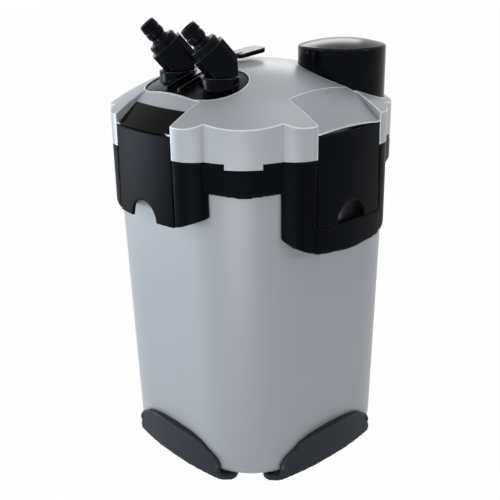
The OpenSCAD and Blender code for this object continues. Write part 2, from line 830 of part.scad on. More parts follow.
module elbow(s) {
    // heights along the tilted part
    box_z = 15.5;
    rib_z = box_z + 0.9;
    neck_z = box_z + 7;
    ring_z = box_z + 12;
    tip_z = box_z + 19;
    barb_edge = 0.7;
    // reach of the body to the front and the back of the cup's axis
    front_reach = elbow_deep / 2 + 9.4;
    back_reach = elbow_deep / 2 - 1.8;
    color("#141518") at_port(s) difference() {
        union() {
            translate([0, 0, spigot_foot_z - cup_rim + 0.3])
                cylinder(r = spigot_r, h = cup_rim - spigot_foot_z + 12);
            translate([0, 0, -9.7]) cylinder(r = cup_bore_r - 0.5, h = 2.4);
            intersection() {
                on_tilt() translate([0, 0, -20]) linear_extrude(box_z + 20) elbow_plan(5);
                translate([-30, -front_reach, 0.8]) cube([60, front_reach + back_reach, 60]);
            }
            translate([0, 0, 0.8]) cylinder(r = spigot_r + 1, h = 12);
            on_tilt() {
                cylinder(r = elbow_w / 2 - 1.4, h = neck_z);
                for (i = [0:2]) {
                    translate([0, 0, rib_z + 2.1 * i]) cylinder(r = elbow_w / 2 - 0.8, h = 1.1);
                }
                cylinder(r = barb_r - 1.1, h = tip_z + 7);
                translate([0, 0, neck_z - eps]) cylinder(r1 = barb_r + 1.3, r2 = barb_r - 1.4, h = 3);
                // the ring that grips the hose, with both edges broken
                translate([0, 0, ring_z - barb_edge])
                    cylinder(r1 = barb_r - barb_edge, r2 = barb_r, h = barb_edge);
                translate([0, 0, ring_z - eps]) cylinder(r = barb_r, h = 5 + 2 * eps);
                translate([0, 0, ring_z + 5])
                    cylinder(r1 = barb_r, r2 = barb_r - barb_edge, h = barb_edge);
                translate([0, 0, ring_z + 5]) cylinder(r = barb_r - barb_edge, h = 2);
                translate([0, 0, tip_z - eps]) cylinder(r1 = barb_r, r2 = barb_r - 0.9, h = 7);
            }
        }
        translate([0, 0, -40]) cylinder(r = barb_bore_r, h = 50);
        translate([0, 0, bend_z]) sphere(r = barb_bore_r + 0.5);
        on_tilt() cylinder(r = barb_bore_r, h = 80);
        // groove of the seal
        translate([0, 0, -19]) difference() {
            cylinder(r = 20, h = 2.6);
            translate([0, 0, -1]) cylinder(r = spigot_r - 1.6, h = 5);
        }
    }
}

module elbow_seal(s) {
    color("#303030") at_port(s) translate([0, 0, -18.9]) difference() {
        cylinder(r = spigot_r + 0.02, h = 2.4);
        translate([0, 0, -1]) cylinder(r = spigot_r - 1.55, h = 5);
    }
}

module elbow_retainers() {
    color("#222327") for (s = [-1, 1]) {
        at_port(s) translate([0, 0, -7]) difference() {
            cylinder(r = cup_bore_r - 0.02, h = 2);
            translate([0, 0, -1]) cylinder(r = spigot_r + 0.4, h = 5);
        }
    }
}

// Primer

module at_primer() {
    translate([primer_d, primer_d, 0]) children();
}

module primer_cap() {
    cap_foot_z = flange_top_z + primer_stroke + 1.2;
    dome_h = 5.5;
    edge = 2.5;
    dome_r = ((primer_r - edge) * (primer_r - edge) + dome_h * dome_h) / (2 * dome_h);
    color("#121316") at_primer() {
        difference() {
            union() {
                translate([0, 0, cap_foot_z]) cylinder(r = primer_r, h = primer_top - edge - cap_foot_z);
                translate([0, 0, primer_top - edge]) rotate_extrude() {
                    square([primer_r - edge, edge]);
                    intersection() {
                        translate([primer_r - edge, 0]) circle(r = edge);
                        square([primer_r + 1, edge + 1]);
                    }
                }
                intersection() {
                    translate([0, 0, primer_top + dome_h - dome_r]) sphere(r = dome_r);
                    translate([0, 0, primer_top - 1]) cylinder(r = primer_r - edge, h = 20);
                }
            }
            translate([0, 0, cap_foot_z - 1]) cylinder(r = primer_r - 2.5, h = primer_top - 3 - cap_foot_z);
        }
    }
}

module primer_piston() {
    color("#3a3c40") at_primer() difference() {
        union() {
            translate([0, 0, piston_z]) cylinder(r = piston_r, h = 10);
            translate([0, 0, piston_z + 5]) cylinder(r = 7, h = primer_top - 4.1 - piston_z - 5);
        }
        translate([0, 0, piston_z - 1]) cylinder(r = spring_r + 2.4, h = 4);
        translate([0, 0, piston_z + 4]) piston_groove(3.2, 40, 2.2);
    }
}

module piston_groove(h, outer, depth) {
    difference() {
        cylinder(r = outer, h = h);
        translate([0, 0, -1]) cylinder(r = piston_r - depth, h = h + 2);
    }
}

module primer_piston_seal() {
    color("#303030") at_primer() translate([0, 0, piston_z + 4.1]) piston_groove(3, piston_r + turn_gap, 2.1);
}

module primer_cylinder() {
    color("#2a2c30") at_primer() difference() {
        translate([0, 0, tray_top_z + seat_gap])
            cylinder(r = piston_r + 3, h = piston_z + 32 - tray_top_z);
        translate([0, 0, tray_top_z + seat_gap + 3]) cylinder(r = piston_r + 2 * turn_gap, h = 90);
        translate([0, 0, tray_top_z - 5]) cylinder(r = 5, h = 20);
    }
}

// One ring of the spring's wire: six points around the centre line at turn t
function spring_ring(t) =
    let (a = 360 * t,
        z = spring_foot_z + (spring_head_z - spring_foot_z) * t / spring_coils,
        c = [spring_r * cos(a), spring_r * sin(a), z])
    [for (i = [0:5]) let (b = 60 * i)
        c + spring_wire_r * [cos(b) * cos(a), cos(b) * sin(a), sin(b)]];

module primer_spring() {
    steps = 8 * spring_coils;
    points = [for (k = [0:steps]) each spring_ring(k / 8)];
    sides = [for (k = [0:steps - 1], i = [0:5]) each [
        [6 * k + i, 6 * k + 6 + i, 6 * k + (i + 1) % 6],
        [6 * k + (i + 1) % 6, 6 * k + 6 + i, 6 * k + 6 + (i + 1) % 6]]];
    foot = [for (i = [1:4]) [0, i, i + 1]];
    head = [for (i = [1:4]) [6 * steps, 6 * steps + i + 1, 6 * steps + i]];
    echo(spring_gap = min([for (k = [0:steps - 8], i = [0:5], j = [0:5])
        norm(points[6 * k + i] - points[6 * (k + 8) + j])]));
    color("silver") at_primer() polyhedron(points = points, faces = concat(sides, foot, head));
}

// Pump

module at_pump() {
    translate([pump_x, pump_y, 0]) children();
}

module motor_housing() {
    color("#1f2023") at_pump() difference() {
        translate([0, 0, tray_top_z + seat_gap]) cylinder(r = motor_r, h = motor_top_z - tray_top_z);
        translate([0, 0, tray_top_z - 1]) cylinder(r = motor_r - 2.5, h = motor_top_z - tray_top_z - 1.5);
    }
}

module stator_core() {
    limb_w = 19.5;
    color("#8a8d92") at_pump() difference() {
        translate([-core_w / 2, -17, core_foot_z]) cube([core_w, 34, 40]);
        translate([0, 0, tray_top_z]) cylinder(r = well_r + 2.3, h = 80);
        for (x = [-40, 40 - limb_w]) {
            translate([x, -20, core_foot_z + 6]) cube([limb_w, 40, 28]);
        }
    }
}

module stator_coils() {
    color("#b4622a") at_pump() for (s = [-1, 1]) {
        translate([s * core_w / 2, 0, core_foot_z + 20]) cube([6, 28, 27], center = true);
    }
}

module rotor_magnet() {
    color("#4a4c50") at_pump() difference() {
        translate([0, 0, tray_top_z]) cylinder(r = magnet_r, h = magnet_h);
        translate([0, 0, tray_top_z - 6]) cylinder(r = shaft_r + turn_gap, h = magnet_h + 12);
    }
}

module impeller() {
    hub_z = volute_foot_z + 4.5;
    color("#e8e8e4") at_pump() difference() {
        union() {
            translate([0, 0, hub_z]) cylinder(r = 6, h = tray_top_z - hub_z - 0.02);
            translate([0, 0, hub_z + 9]) cylinder(r = impeller_r - 2, h = 1.8);
            for (i = [0:blade_count - 1]) {
                rotate([0, 0, 360 / blade_count * i]) translate([4, -0.9, hub_z])
                    cube([impeller_r - 4, 1.8, 9.5]);
            }
        }
        translate([0, 0, hub_z - 1]) cylinder(r = shaft_r + turn_gap, h = 60);
    }
}

module impeller_shaft() {
    color("white") at_pump() translate([0, 0, shaft_foot_z])
        cylinder(r = shaft_r, h = well_top_z - 3 - shaft_foot_z);
}

module bush(z) {
    color("#2f2f2f") at_pump() translate([0, 0, z]) difference() {
        cylinder(r = 4.5, h = 4.5);
        translate([0, 0, -1]) cylinder(r = shaft_r + 0.01, h = 8);
    }
}

// Straight way from the pump to the outlet port
module volute_way(w, z0, h) {
    dx = port_x - pump_x;
    dy = port_y - pump_y;
    translate([pump_x, pump_y, z0]) rotate([0, 0, atan2(dy, dx)]) translate([0, -w / 2, 0])
        cube([norm([dx, dy]), w, h]);
    translate([port_x, port_y, z0]) cylinder(r = w / 2 + 1, h = h);
}

module pump_volute() {
    z0 = volute_foot_z;
    color("#26282b") difference() {
        union() {
            at_pump() translate([0, 0, z0]) cylinder(r = volute_r, h = volute_h);
            volute_way(20, z0, volute_h);
            for (a = volute_screw_turns) {
                at_pump() rotate([0, 0, a]) translate([volute_screw_at, 0, z0]) cylinder(r = 5, h = volute_h);
            }
        }
        at_pump() translate([0, 0, z0 - 1]) cylinder(r = volute_r - 3, h = volute_h - 1);
        at_pump() translate([0, 0, z0]) cylinder(r = 10, h = 40);
        volute_way(15, z0 + 3, volute_h - 6);
        translate([port_x, port_y, z0 + 8]) cylinder(r = way_r + 1, h = 40);
        for (a = volute_screw_turns) {
            at_pump() rotate([0, 0, a]) translate([volute_screw_at, 0, z0 - 5])
                cylinder(r = 2.05, h = volute_h);
        }
    }
}

module impeller_cover() {
    z0 = volute_foot_z;
    color("#26282b") at_pump() difference() {
        union() {
            translate([0, 0, z0 - 2.8]) cylinder(r = volute_r + 6, h = 2.5);
            translate([0, 0, z0 - 6]) cylinder(r = 8, h = 6);
        }
        difference() {
            translate([0, 0, z0 - 20]) cylinder(r = 13, h = 40);
            translate([0, 0, z0 - 6]) cylinder(r = 6.5, h = 8);
            for (a = [0, 60, 120]) {
                rotate([0, 0, a]) translate([-20, -1.5, z0 - 5]) cube([40, 3, 5]);
            }
        }
        translate([0, 0, z0 - 4.6]) cylinder(r = 4.52, h = 20);
        for (a = volute_screw_turns) {
            rotate([0, 0, a]) translate([volute_screw_at, 0, z0 - 9]) cylinder(r = 2.3, h = 20);
        }
    }
}

module volute_screws() {
    z0 = volute_foot_z;
    color("gray") at_pump() for (a = volute_screw_turns) {
        rotate([0, 0, a]) translate([volute_screw_at, 0, z0 - 4.9]) {
            cylinder(r = 3.4, h = 2);
            cylinder(r = 2, h = 14);
        }
    }
}

// Duct that leads the incoming water down past the baskets

module intake_duct() {
    wall = 2;
    channel_w = 20;
    channel_h = 18;
    channel_z = volute_top_z - channel_h;
    color("#3c3f44") difference() {
        union() {
            translate([-duct_at, -duct_at, floor_z + 2]) cylinder(r = duct_r, h = volute_top_z - floor_z - 2);
            translate([-duct_at, port_y - 8, channel_z]) cube([duct_at - port_x, channel_w, channel_h]);
            translate([-port_x, port_y, channel_z]) cylinder(r = 11, h = channel_h);
        }
        translate([-duct_at, -duct_at, floor_z]) cylinder(r = duct_r - wall, h = volute_top_z - floor_z - 3);
        translate([-duct_at, port_y - 5.5, channel_z + 2.5])
            cube([duct_at - port_x, channel_w - 5, channel_h - 5]);
        translate([-port_x, port_y, channel_z + 2.5]) cylinder(r = way_r + 1, h = channel_h + 10);
        for (a = [0:60:300]) {
            translate([-duct_at, -duct_at, floor_z + 10]) rotate([0, 0, a]) rotate([90, 0, 0])
                cylinder(r = 5, h = duct_r + 15);
        }
    }
}

// Baskets and media

function basket_z(i) = basket_z0 + basket_h * i;

module basket(i) {
    slot_w = 7;
    slots = 9;
    color("#55585d") translate([0, 0, basket_z(i)]) difference() {
        union() {
            linear_extrude(basket_h - seat_gap) rounded_square(basket_half, basket_corner);
            // the lowest basket stands on four legs
            if (i == 0) {
                for (k = [0:3]) {
                    at_face(k) translate([45, 85, floor_z + seat_gap - basket_z0])
                        cylinder(r = 4, h = basket_z0 - floor_z);
                }
            }
        }
        difference() {
            translate([0, 0, basket_wall]) linear_extrude(basket_h)
                rounded_square(basket_half - basket_wall, basket_corner - basket_wall);
            translate([-duct_at, -duct_at, 0]) cylinder(r = duct_r + duct_gap + basket_wall, h = basket_h);
        }
        translate([-duct_at, -duct_at, -1]) cylinder(r = duct_r + duct_gap, h = basket_h + 2);
        for (k = [0:slots - 1], s = [-1, 1]) {
            translate([-slot_w / 2 + (k - (slots - 1) / 2) * 15, s * 31 - 22, -1])
                cube([slot_w, 44, basket_wall + 2]);
        }
        // hand holds
        for (s = [-1, 1]) {
            translate([s * basket_half - 10, -20, basket_h - 18]) cube([20, 40, 10]);
        }
    }
}

module basket_grid() {
    color("#55585d") translate([0, 0, basket_z(basket_count)]) difference() {
        linear_extrude(grid_h) rounded_square(basket_half, basket_corner);
        translate([-duct_at, -duct_at, -1]) cylinder(r = duct_r + duct_gap, h = 9);
        for (k = [-4:4], s = [-1, 1]) {
            translate([-4 + k * 15, s * 31 - 22, -1]) cube([8, 44, 9]);
        }
    }
}

// A slab of media that fills a basket's plan, clear of its walls and of the duct
module media_slab(i, z, h) {
    half = basket_half - basket_wall - 0.6;
    translate([0, 0, basket_z(i) + basket_wall + z]) difference() {
        linear_extrude(h) rounded_square(half, basket_corner - basket_wall);
        translate([-duct_at, -duct_at, -1]) cylinder(r = duct_r + duct_gap + basket_wall + 0.6, h = h + 2);
    }
}

module coarse_foam() {
    color("#3d5a80") media_slab(0, seat_gap, basket_h - 9.7);
}

module polishing_pad() {
    color("#f2f2ee") media_slab(3, basket_h - 15.7, 11);
}

module carbon_pack() {
    color("#1a1a1a") media_slab(3, seat_gap, basket_h - 16.7);
}

function clear_of_duct(x, y, r) =
    norm([x + duct_at, y + duct_at]) > duct_r + duct_gap + basket_wall + r + 1;

function inside_basket(x, y, r) =
    let (c = basket_half - basket_corner, dx = max(abs(x) - c, 0), dy = max(abs(y) - c, 0))
    norm([dx, dy]) + r < basket_corner - basket_wall - 1;

module ceramic_rings() {
    ring_r = 11;
    ring_h = basket_h - 19.7;
    pitch = 2 * ring_r + 2;
    span = basket_half - 18;
    color("#e6ddcc") for (x = [-span:pitch:span], y = [-span:pitch:span]) {
        if (clear_of_duct(x, y, ring_r) && inside_basket(x, y, ring_r)) {
            translate([x, y, basket_z(2) + basket_wall + seat_gap]) difference() {
                cylinder(r = ring_r, h = ring_h);
                translate([0, 0, -1]) cylinder(r = ring_r - 4, h = ring_h + 2);
            }
        }
    }
}

module bio_balls() {
    ball_r = 16;
    pitch = 2 * ball_r + 1;
    span = 2 * pitch;
    color("#3f66a8") for (x = [-span:pitch:span], y = [-span:pitch:span]) {
        if (clear_of_duct(x, y, ball_r) && inside_basket(x, y, ball_r)) {
            translate([x, y, basket_z(1) + basket_wall + seat_gap + ball_r]) sphere(r = ball_r);
        }
    }
}

// Bush in the lid's back left lobe where a mains lead passes

module at_gland() {
    rotate([0, 0, 135]) translate([lobe_reach - 6, 0, gland_z]) rotate([0, 90, 0]) children();
}

// A neck between an inner and an outer flange
module gland_outline(grow) {
    cylinder(r = gland_r + grow, h = gland_h);
    translate([0, 0, -grow]) cylinder(r = gland_r + 2 + grow, h = gland_flange_h + 2 * grow);
    translate([0, 0, gland_h - gland_flange_h - 0.2 - grow])
        cylinder(r = gland_r + 2.5 + grow, h = gland_flange_h + 0.2 + 2 * grow);
}

module cord_gland() {
    color("#1a1b1e") at_gland() difference() {
        gland_outline(0);
        translate([0, 0, -1]) cylinder(r = gland_bore_r, h = gland_h + 2);
    }
}

// One node at a time, or all of them

canister_body();
canister_collar();
foot(0);  // foot_front
foot(1);  // foot_right
foot(2);  // foot_back
foot(3);  // foot_left
head_base();
head_seal();
lid_cover();
badge_plate();
lid_screws();
clamp(0);  // clamp_front
clamp(1);  // clamp_right
clamp(2);  // clamp_back
clamp(3);  // clamp_left
clamp_hinge_pins();
valve_block();
valve_plug(-1);  // valve_plug_in
valve_plug(1);  // valve_plug_out
valve_shaft();
valve_lever();
valve_end_caps();
elbow(-1);  // elbow_in
elbow(1);  // elbow_out
elbow_seal(-1);  // elbow_seal_in
elbow_seal(1);  // elbow_seal_out
elbow_retainers();
primer_cap();
primer_piston();
primer_piston_seal();
primer_cylinder();
primer_spring();
motor_housing();
stator_core();
stator_coils();
rotor_magnet();
impeller();
impeller_shaft();
bush(well_top_z - 8.5);  // bush_upper
bush(shaft_foot_z);  // bush_lower
pump_volute();
impeller_cover();
volute_screws();
intake_duct();
basket(0);  // basket_1
basket(1);  // basket_2
basket(2);  // basket_3
basket(3);  // basket_4
basket_grid();
coarse_foam();
ceramic_rings();
bio_balls();
carbon_pack();
polishing_pad();
cord_gland();
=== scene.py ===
"""Canister filter: looks of the canister, its clamped head, hose elbows and primer."""
import bpy
import bmesh
import json
import math
import numpy as np
from mathutils import Matrix, Vector, kdtree
from mathutils.bvhtree import BVHTree

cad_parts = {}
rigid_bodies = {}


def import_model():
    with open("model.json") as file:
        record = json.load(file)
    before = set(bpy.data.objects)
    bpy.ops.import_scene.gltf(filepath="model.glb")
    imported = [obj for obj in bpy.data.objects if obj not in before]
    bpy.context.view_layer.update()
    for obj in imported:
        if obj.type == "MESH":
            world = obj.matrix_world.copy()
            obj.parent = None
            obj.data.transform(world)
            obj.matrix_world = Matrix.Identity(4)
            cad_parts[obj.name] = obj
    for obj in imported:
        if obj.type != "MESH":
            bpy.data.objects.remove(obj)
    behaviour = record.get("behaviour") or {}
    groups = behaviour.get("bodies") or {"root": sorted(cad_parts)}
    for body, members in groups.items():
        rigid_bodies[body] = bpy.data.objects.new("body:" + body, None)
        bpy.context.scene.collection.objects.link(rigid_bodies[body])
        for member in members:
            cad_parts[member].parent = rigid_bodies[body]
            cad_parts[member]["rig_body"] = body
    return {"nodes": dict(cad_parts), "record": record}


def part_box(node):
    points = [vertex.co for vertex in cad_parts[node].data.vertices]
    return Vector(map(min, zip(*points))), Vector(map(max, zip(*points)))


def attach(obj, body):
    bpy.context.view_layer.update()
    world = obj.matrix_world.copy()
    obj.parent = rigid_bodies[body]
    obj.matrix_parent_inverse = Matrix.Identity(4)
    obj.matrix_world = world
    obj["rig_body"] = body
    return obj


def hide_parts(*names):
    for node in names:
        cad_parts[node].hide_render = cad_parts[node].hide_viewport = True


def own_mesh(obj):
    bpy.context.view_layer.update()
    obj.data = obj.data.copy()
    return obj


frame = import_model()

scene = bpy.context.scene
nodes = frame["nodes"]
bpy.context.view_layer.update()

MM = 0.001


# Shader node groups

def new_group(name, inputs, outputs):
    """A shader group with float or vector sockets: [(name, kind, default)]."""
    group = bpy.data.node_groups.new(name, "ShaderNodeTree")
    for label, kind, value in inputs:
        made = group.interface.new_socket(label, in_out="INPUT", socket_type=kind)
        made.default_value = value
    for label, kind in outputs:
        group.interface.new_socket(label, in_out="OUTPUT", socket_type=kind)
    return group, group.nodes.new("NodeGroupInput"), group.nodes.new("NodeGroupOutput")


def math_node(tree, operation, a, b=None, clamp=False):
    made = tree.nodes.new("ShaderNodeMath")
    made.operation = operation
    made.use_clamp = clamp
    for slot, value in ((0, a), (1, b)):
        if value is None:
            continue
        if isinstance(value, (int, float)):
            made.inputs[slot].default_value = value
        else:
            tree.links.new(value, made.inputs[slot])
    return made.outputs[0]


def noise_node(tree, scale, detail=3.0, roughness=0.5):
    made = tree.nodes.new("ShaderNodeTexNoise")
    made.inputs["Detail"].default_value = detail
    made.inputs["Roughness"].default_value = roughness
    if isinstance(scale, (int, float)):
        made.inputs["Scale"].default_value = scale
    else:
        tree.links.new(scale, made.inputs["Scale"])
    coords = tree.nodes.new("ShaderNodeTexCoord")
    tree.links.new(coords.outputs["Object"], made.inputs["Vector"])
    return made.outputs["Fac"]


def moulded_grain():
    """Fine mould texture, slow unevenness of the surface, and light dust."""
    group, given, out = new_group(
        "moulded grain",
        [("Grain scale", "NodeSocketFloat", 1500.0), ("Grain depth", "NodeSocketFloat", 0.5),
         ("Drift", "NodeSocketFloat", 0.5)],
        [("Height", "NodeSocketFloat"), ("Fine", "NodeSocketFloat"), ("Slow", "NodeSocketFloat")])
    fine = noise_node(group, given.outputs["Grain scale"], 2.0)
    slow = noise_node(group, 14.0, 2.0)
    height = math_node(group, "MULTIPLY", fine, given.outputs["Grain depth"])
    drift = math_node(group, "MULTIPLY", slow, given.outputs["Drift"])
    group.links.new(math_node(group, "ADD", height, drift), out.inputs["Height"])
    group.links.new(fine, out.inputs["Fine"])
    group.links.new(slow, out.inputs["Slow"])
    return group


PLAIN_POINTINESS, SHARP_POINTINESS = 0.52, 0.62
WEAR_AND_HIGHLIGHT_SPREAD = 1.6


def wear_and_highlight_edges():
    """A mask of convex edges, broken up by noise: wear, and on the gloss fittings a painted highlight."""
    group, given, out = new_group(
        "edge wear",
        [("Amount", "NodeSocketFloat", 0.5), ("Breakup", "NodeSocketFloat", 240.0)],
        [("Mask", "NodeSocketFloat")])
    shape = group.nodes.new("ShaderNodeNewGeometry")
    sharp = group.nodes.new("ShaderNodeMapRange")
    sharp.inputs["From Min"].default_value = PLAIN_POINTINESS
    sharp.inputs["From Max"].default_value = SHARP_POINTINESS
    group.links.new(shape.outputs["Pointiness"], sharp.inputs["Value"])
    broken = noise_node(group, given.outputs["Breakup"], 4.0)
    spread = math_node(group, "MULTIPLY", broken, WEAR_AND_HIGHLIGHT_SPREAD)
    picked = math_node(group, "MULTIPLY", sharp.outputs["Result"], spread)
    mask = math_node(group, "MULTIPLY", picked, given.outputs["Amount"], clamp=True)
    group.links.new(mask, out.inputs["Mask"])
    return group


GRAIN = moulded_grain()
WEAR_AND_HIGHLIGHT = wear_and_highlight_edges()


def place(tree, group, **values):
    made = tree.nodes.new("ShaderNodeGroup")
    made.node_tree = group
    for label, value in values.items():
        made.inputs[label.replace("_", " ")].default_value = value
    return made


def mix_colour(tree, factor, a, b):
    made = tree.nodes.new("ShaderNodeMix")
    made.data_type = "RGBA"
    for slot, value in ((0, factor), (6, a), (7, b)):
        if isinstance(value, (int, float)):
            made.inputs[slot].default_value = value
        elif isinstance(value, tuple):
            made.inputs[slot].default_value = (*value, 1.0)
        else:
            tree.links.new(value, made.inputs[slot])
    return made.outputs[2]


def ranged(tree, value, low, high):
    made = tree.nodes.new("ShaderNodeMapRange")
    made.inputs["To Min"].default_value = low
    made.inputs["To Max"].default_value = high
    tree.links.new(value, made.inputs["Value"])
    return made.outputs["Result"]


SPECKLE_RANGE = (-0.1, 0.35)
SLOW_ROUGHNESS = (-0.04, 0.05)
FINE_ROUGHNESS = (-0.03, 0.03)
RELIEF_DISTANCE = 0.0005


def moulded(name, colour, second, rough, grain=1500.0, depth=0.4, bump=0.06, wear_and_highlight=0.3, worn_and_highlight_colour=None,
            metallic=0.0, coat=0.0, coat_rough=0.2, specular=0.5, drift=0.6, tint=(1.0, 1.0, 1.0)):
    """A moulded plastic, rubber or metal finish with grain, colour drift and lighter convex edges: wear, and
    on the gloss fittings a painted highlight.
    """
    material = bpy.data.materials.new(name)
    material.use_nodes = True
    tree = material.node_tree
    shader = tree.nodes["Principled BSDF"]
    surface = place(tree, GRAIN, Grain_scale=grain, Grain_depth=depth, Drift=drift)
    edges = place(tree, WEAR_AND_HIGHLIGHT, Amount=wear_and_highlight)
    base = mix_colour(tree, surface.outputs["Slow"], colour, second)
    speckled = mix_colour(tree, ranged(tree, surface.outputs["Fine"], *SPECKLE_RANGE), base, second)
    # Convex edges go to a lighter colour: wear, and on the gloss fittings a painted highlight.
    lifted = worn_and_highlight_colour or tuple(min(1.0, c * 1.5 + 0.02) for c in colour)
    final = mix_colour(tree, edges.outputs["Mask"], speckled, lifted)
    tree.links.new(final, shader.inputs["Base Color"])
    slow = ranged(tree, surface.outputs["Slow"], *(rough + swing for swing in SLOW_ROUGHNESS))
    fine = ranged(tree, surface.outputs["Fine"], *FINE_ROUGHNESS)
    roughness = math_node(tree, "ADD", slow, fine, clamp=True)
    tree.links.new(roughness, shader.inputs["Roughness"])
    relief = tree.nodes.new("ShaderNodeBump")
    relief.inputs["Strength"].default_value = bump
    relief.inputs["Distance"].default_value = RELIEF_DISTANCE
    tree.links.new(surface.outputs["Height"], relief.inputs["Height"])
    tree.links.new(relief.outputs["Normal"], shader.inputs["Normal"])
    shader.inputs["Metallic"].default_value = metallic
    shader.inputs["Coat Weight"].default_value = coat
    shader.inputs["Coat Roughness"].default_value = coat_rough
    shader.inputs["Specular IOR Level"].default_value = specular
    shader.inputs["Specular Tint"].default_value = (*tint, 1.0)
    return material


# Finishes: colour, second colour, roughness, then the values that differ from plain moulded plastic

# Painted reflection: a bluish specular tint that colours the black finishes' reflections as a cold lamp
# would.
PAINTED_BLUE_REFLECTION_TINT = (0.72, 0.84, 1.0)
SILVER = moulded("pearl grey shell", (0.395, 0.419, 0.448), (0.372, 0.396, 0.424), 0.42, grain=2600.0,
                 depth=0.3, bump=0.03, wear_and_highlight=0.0, coat=0.15, coat_rough=0.25, metallic=0.1)
# Painted light: the lid has the shell's pearl grey painted lighter, standing in for the stronger light its
# lobes catch from above.
LID_PAINTED_LIGHTER = moulded("pearl grey lid painted lighter", (0.500, 0.530, 0.562), (0.472, 0.502, 0.534), 0.4, grain=2600.0,
              depth=0.3, bump=0.03, wear_and_highlight=0.0, coat=0.15, coat_rough=0.25, metallic=0.1)
# Painted highlight: a near-white grey on the lid's crease beads stands in for the bright line of light along
# its edges.
PAINTED_HIGHLIGHT_EDGE = moulded("pearl edge painted highlight", (0.86, 0.89, 0.93), (0.80, 0.83, 0.87), 0.3, grain=2600.0, depth=0.3,
              bump=0.02, wear_and_highlight=0.0, coat=0.5, coat_rough=0.15, metallic=0.2)
BLACK = moulded("satin black clamps and collar", (0.0016, 0.0018, 0.0024), (0.0024, 0.0027, 0.0036), 0.38,
                grain=2200.0, depth=0.35, bump=0.05, wear_and_highlight=0.5, worn_and_highlight_colour=(0.050, 0.055, 0.065),
                specular=0.04, tint=PAINTED_BLUE_REFLECTION_TINT)
# Painted highlight: the light grey edge colour on the fittings stands in for bright lines of light along
# ring and rim edges.
GLOSS = moulded("gloss black fittings", (0.0012, 0.0013, 0.0017), (0.0018, 0.0019, 0.0025), 0.2,
                grain=1800.0, depth=0.25, bump=0.03, wear_and_highlight=0.8, worn_and_highlight_colour=(0.24, 0.26, 0.30), specular=0.07,
                tint=PAINTED_BLUE_REFLECTION_TINT)
BADGE = moulded("bare badge plate", (0.0010, 0.0010, 0.0012), (0.0014, 0.0014, 0.0017), 0.1, grain=900.0,
                depth=0.1, bump=0.01, wear_and_highlight=0.1, specular=0.04)
CHARCOAL = moulded("charcoal feet", (0.026, 0.029, 0.037), (0.033, 0.0365, 0.045), 0.48, grain=1300.0,
                   depth=0.7, bump=0.12, wear_and_highlight=0.35, worn_and_highlight_colour=(0.06, 0.065, 0.075), specular=0.10, tint=PAINTED_BLUE_REFLECTION_TINT)
TRAY = moulded("tray black", (0.010, 0.0105, 0.012), (0.014, 0.0145, 0.0165), 0.5, grain=1500.0, depth=0.5,
               bump=0.08, specular=0.2)
RUBBER = moulded("seal rubber", (0.012, 0.012, 0.012), (0.018, 0.018, 0.018), 0.7, grain=2400.0,
                 depth=0.6, bump=0.1, wear_and_highlight=0.1)
STEEL = moulded("drawn steel", (0.55, 0.56, 0.58), (0.48, 0.49, 0.51), 0.28, grain=900.0, depth=0.4,
                bump=0.05, metallic=1.0)
BASKET = moulded("basket grey", (0.13, 0.14, 0.155), (0.16, 0.17, 0.185), 0.5, grain=1500.0, bump=0.06)
COPPER = moulded("lacquered copper", (0.60, 0.26, 0.10), (0.48, 0.19, 0.07), 0.3, grain=2500.0,
                 depth=0.9, bump=0.3, metallic=1.0)
FERRITE = moulded("ferrite", (0.03, 0.03, 0.032), (0.045, 0.045, 0.047), 0.45, grain=1900.0, bump=0.12)
CERAMIC = moulded("polished ceramic", (0.80, 0.79, 0.76), (0.74, 0.73, 0.70), 0.2, grain=1200.0,
                  bump=0.02)
IMPELLER = moulded("off-white impeller", (0.70, 0.70, 0.67), (0.64, 0.64, 0.62), 0.4, grain=1500.0,
                   bump=0.05)
FOAM = moulded("blue open foam", (0.05, 0.13, 0.30), (0.02, 0.06, 0.16), 0.95, grain=520.0, depth=3.0,
               bump=0.9, wear_and_highlight=0.0)
FLOSS = moulded("white fibre pad", (0.78, 0.78, 0.75), (0.62, 0.62, 0.60), 0.95, grain=900.0, depth=2.0,
                bump=0.7, wear_and_highlight=0.0)
CARBON = moulded("carbon granules", (0.012, 0.012, 0.013), (0.03, 0.03, 0.032), 0.6, grain=420.0,
                 depth=3.0, bump=0.9, wear_and_highlight=0.0)
CLAY = moulded("fired clay", (0.60, 0.52, 0.40), (0.50, 0.43, 0.33), 0.85, grain=1100.0, depth=1.5,
               bump=0.4)
BALL = moulded("blue bio balls", (0.03, 0.10, 0.32), (0.02, 0.08, 0.26), 0.45, grain=1300.0, bump=0.06)

FINISH = {
    "canister_grey": SILVER, "satin_black": BLACK, "badge_black": BADGE, "foot_charcoal": CHARCOAL,
    "seal_rubber": RUBBER, "pin_steel": STEEL, "tray_black": TRAY, "basket_grey": BASKET,
    "core_steel": STEEL, "coil_copper": COPPER, "magnet_ferrite": FERRITE, "shaft_ceramic": CERAMIC,
    "impeller_white": IMPELLER, "foam_blue": FOAM, "pad_white": FLOSS, "carbon_black": CARBON,
    "ring_clay": CLAY, "ball_blue": BALL,
}
FITTINGS = ("valve_block", "valve_lever", "elbow_in", "elbow_out", "primer_cap")
SLOT_OF = {s["node"]: s["material_slot"] for s in frame["record"]["subparts"]}


def finish_of(node):
    if node in FITTINGS:
        return GLOSS
    return LID_PAINTED_LIGHTER if node == "lid_cover" else FINISH[SLOT_OF[node]]


for name, node in nodes.items():
    node.data.materials.clear()
    node.data.materials.append(finish_of(name))


# Rounded skins: each is its solid's own surface, with every crisp edge eased as a mould leaves it

WELD = 2e-6
CRISP_ANGLE = math.radians(25)


